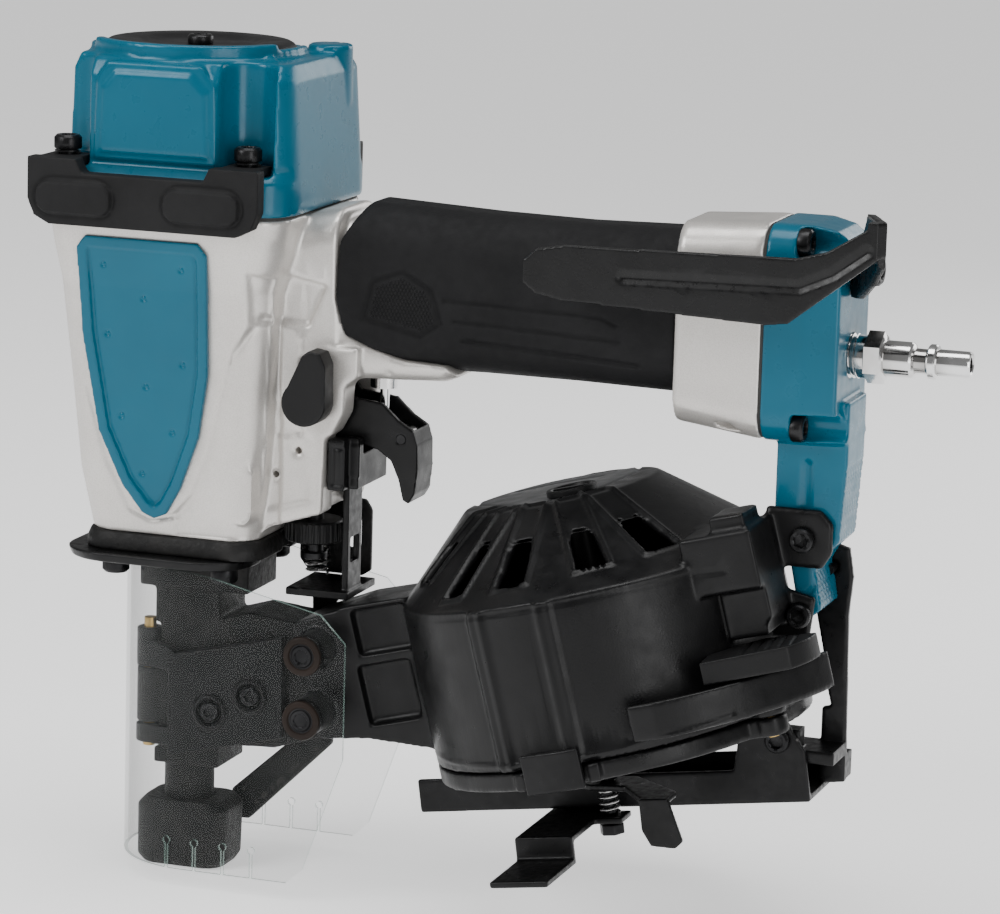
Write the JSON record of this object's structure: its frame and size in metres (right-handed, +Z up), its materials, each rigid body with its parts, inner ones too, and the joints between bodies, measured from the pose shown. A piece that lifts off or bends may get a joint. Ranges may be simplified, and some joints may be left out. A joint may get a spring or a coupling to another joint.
{
  "type": "pneumatic coil nailer",
  "caption": "Pneumatic coil roofing nailer: head and grip housing, nose with contact foot, tilted coil magazine, exposure gauge, clear shield and air plug.",
  "frame": {"origin": "driver axis at the lower face of the contact foot, where the nail leaves the tool", "axes": "+X along the handle to the air plug, +Y to the right side of the tool, +Z up along the driver axis"},
  "size_m": [0.2884, 0.125, 0.2672],
  "materials": {
    "silver_paint": "satin metallic casting paint",
    "teal_paint": "gloss paint on a casting",
    "teal_plastic": "moulded plastic, satin",
    "black_rubber": "matte moulded rubber",
    "black_plastic": "satin moulded nylon",
    "black_steel": "black phosphate and paint, satin",
    "cast_black": "black cast steel",
    "chrome": "plated, polished",
    "steel": "ground steel",
    "aluminium": "machined",
    "clear_plastic": "clear polycarbonate, gloss",
    "gasket": "fibre and nitrile, matte"
  },
  "bodies": {
    "root": {"actuator_cover": "black_plastic", "air_plug": "chrome", "badges": "teal_plastic", "base_flange": "cast_black", "base_screws": "black_steel", "bumper_left": "black_rubber", "bumper_right": "black_rubber", "cap_screws": "black_steel", "contact_spring": "steel", "cylinder_sleeve": "aluminium", "driver_guide": "cast_black", "end_cap": "teal_paint", "end_cap_screws": "black_steel", "exhaust_screw": "black_steel", "feed_cylinder": "aluminium", "feed_spring": "steel", "gaskets": "gasket", "guide_rail": "black_steel", "handle_grip": "black_rubber", "head_cap": "teal_paint", "head_valve_spring": "steel", "hinge_pins": "steel", "hook_bolt": "black_steel", "housing": "silver_paint", "magazine_screws": "black_steel", "magazine_shell": "black_plastic", "piston_bumper": "black_rubber", "rail_bracket": "black_steel", "rim_plate": "black_steel", "shield": "clear_plastic", "shield_screws": "black_steel", "trigger_valve_body": "chrome", "valve_spring": "steel"},
    "exhaust_deflector": {"exhaust_cover": "black_plastic"},
    "head_valve": {"head_valve": "black_plastic"},
    "driver": {"piston": "aluminium", "piston_ring": "gasket", "driver_blade": "steel"},
    "selector": {"selector_lever": "black_plastic"},
    "trigger": {"trigger": "black_plastic", "idler_pin": "steel"},
    "idler": {"idler_lever": "steel"},
    "plunger": {"valve_plunger": "steel"},
    "contact_arm": {"contact_foot": "cast_black", "contact_link": "black_steel"},
    "depth_adjuster": {"depth_wheel": "black_plastic"},
    "door": {"nose_door": "black_steel", "door_screws": "black_steel"},
    "feeder": {"feed_piston": "steel", "feed_pawl": "steel"},
    "tray": {"magazine_tray": "black_plastic", "tray_latch": "black_steel"},
    "dial": {"height_dial": "black_plastic"},
    "partition": {"partition_plate": "black_plastic"},
    "finger_lever": {"latch_lever": "black_plastic"},
    "hook": {"belt_hook": "black_steel"},
    "gauge": {"exposure_guide": "black_steel", "guide_bolt": "black_steel", "guide_spring": "steel"},
    "gauge_lever": {"guide_lever": "black_steel"}
  },
  "joints": [
    {"name": "exhaust_turn", "type": "hinge", "parent": "root", "child": "exhaust_deflector", "pos_m": [0, 0, 0.264], "axis": [0, 0, 1], "continuous": true},
    {"name": "head_valve_lift", "type": "slide", "parent": "root", "child": "head_valve", "axis": [0, 0, 1], "range_m": [0, 0.0045], "stiffness_N_per_m": 2000, "springref_m": -0.004, "deforming": ["head_valve_spring"]},
    {"name": "driver_stroke", "type": "slide", "parent": "root", "child": "driver", "axis": [0, 0, -1], "range_m": [0, 0.0605]},
    {"name": "selector_turn", "type": "hinge", "parent": "root", "child": "selector", "pos_m": [0.048, 0, 0.1583], "axis": [0, 1, 0], "range_deg": [0, 165]},
    {"name": "trigger_pull", "type": "hinge", "parent": "root", "child": "trigger", "pos_m": [0.048, 0, 0.1583], "axis": [0, -1, 0], "range_deg": [0, 12], "stiffness_Nm_per_rad": 1.5, "springref_deg": -5.73},
    {"name": "idler_tilt", "type": "hinge", "parent": "trigger", "child": "idler", "pos_m": [0.0724, 0, 0.1456], "axis": [0, 1, 0], "range_deg": [0, 11], "stiffness_Nm_per_rad": 0.05, "springref_deg": -5.73},
    {"name": "plunger_push", "type": "slide", "parent": "root", "child": "plunger", "axis": [0, 0, 1], "range_m": [0, 0.003], "stiffness_N_per_m": 400, "springref_m": -0.003, "deforming": ["valve_spring"]},
    {"name": "contact_press", "type": "slide", "parent": "root", "child": "contact_arm", "axis": [0, 0, 1], "range_m": [0, 0.008], "stiffness_N_per_m": 1200, "springref_m": -0.012, "deforming": ["contact_spring"]},
    {"name": "depth_turn", "type": "hinge", "parent": "root", "child": "depth_adjuster", "pos_m": [0.0415, 0, 0.113], "axis": [0, 0, 1], "continuous": true},
    {"name": "door_swing", "type": "hinge", "parent": "root", "child": "door", "pos_m": [-0.0105, -0.009, 0.06], "axis": [0, 0, -1], "range_deg": [0, 15]},
    {"name": "feed_stroke", "type": "slide", "parent": "root", "child": "feeder", "axis": [0.9659, 0, 0.2588], "range_m": [0, 0.009], "stiffness_N_per_m": 500, "springref_m": -0.006},
    {"name": "tray_swing", "type": "hinge", "parent": "root", "child": "tray", "pos_m": [0.20064, -0.027, 0.07235], "axis": [-0.2588, 0, 0.9659], "range_deg": [0, 80]},
    {"name": "dial_turn", "type": "hinge", "parent": "root", "child": "dial", "pos_m": [0.12714, 0, 0.1303], "axis": [-0.2588, 0, 0.9659], "range_deg": [0, 270]},
    {"name": "partition_slide", "type": "slide", "parent": "root", "child": "partition", "axis": [0.2588, 0, -0.9659], "range_m": [0, 0.018]},
    {"name": "lever_press", "type": "hinge", "parent": "root", "child": "finger_lever", "pos_m": [0.20216, -0.036, 0.0976], "axis": [-0.2588, 0, 0.9659], "range_deg": [0, 10], "stiffness_Nm_per_rad": 0.3, "springref_deg": -5.73},
    {"name": "hook_swivel", "type": "hinge", "parent": "root", "child": "hook", "pos_m": [0.2138, 0, 0.209], "axis": [-1, 0, 0], "range_deg": [0, 180]},
    {"name": "gauge_slide", "type": "slide", "parent": "root", "child": "gauge", "axis": [0.9898, 0, 0.1426], "range_m": [-0.026, 0.034]},
    {"name": "gauge_lock", "type": "hinge", "parent": "gauge", "child": "gauge_lever", "pos_m": [0.14643, -0.013, 0.03564], "axis": [-0.1426, 0, 0.9898], "range_deg": [-40, 0]}
  ]
}
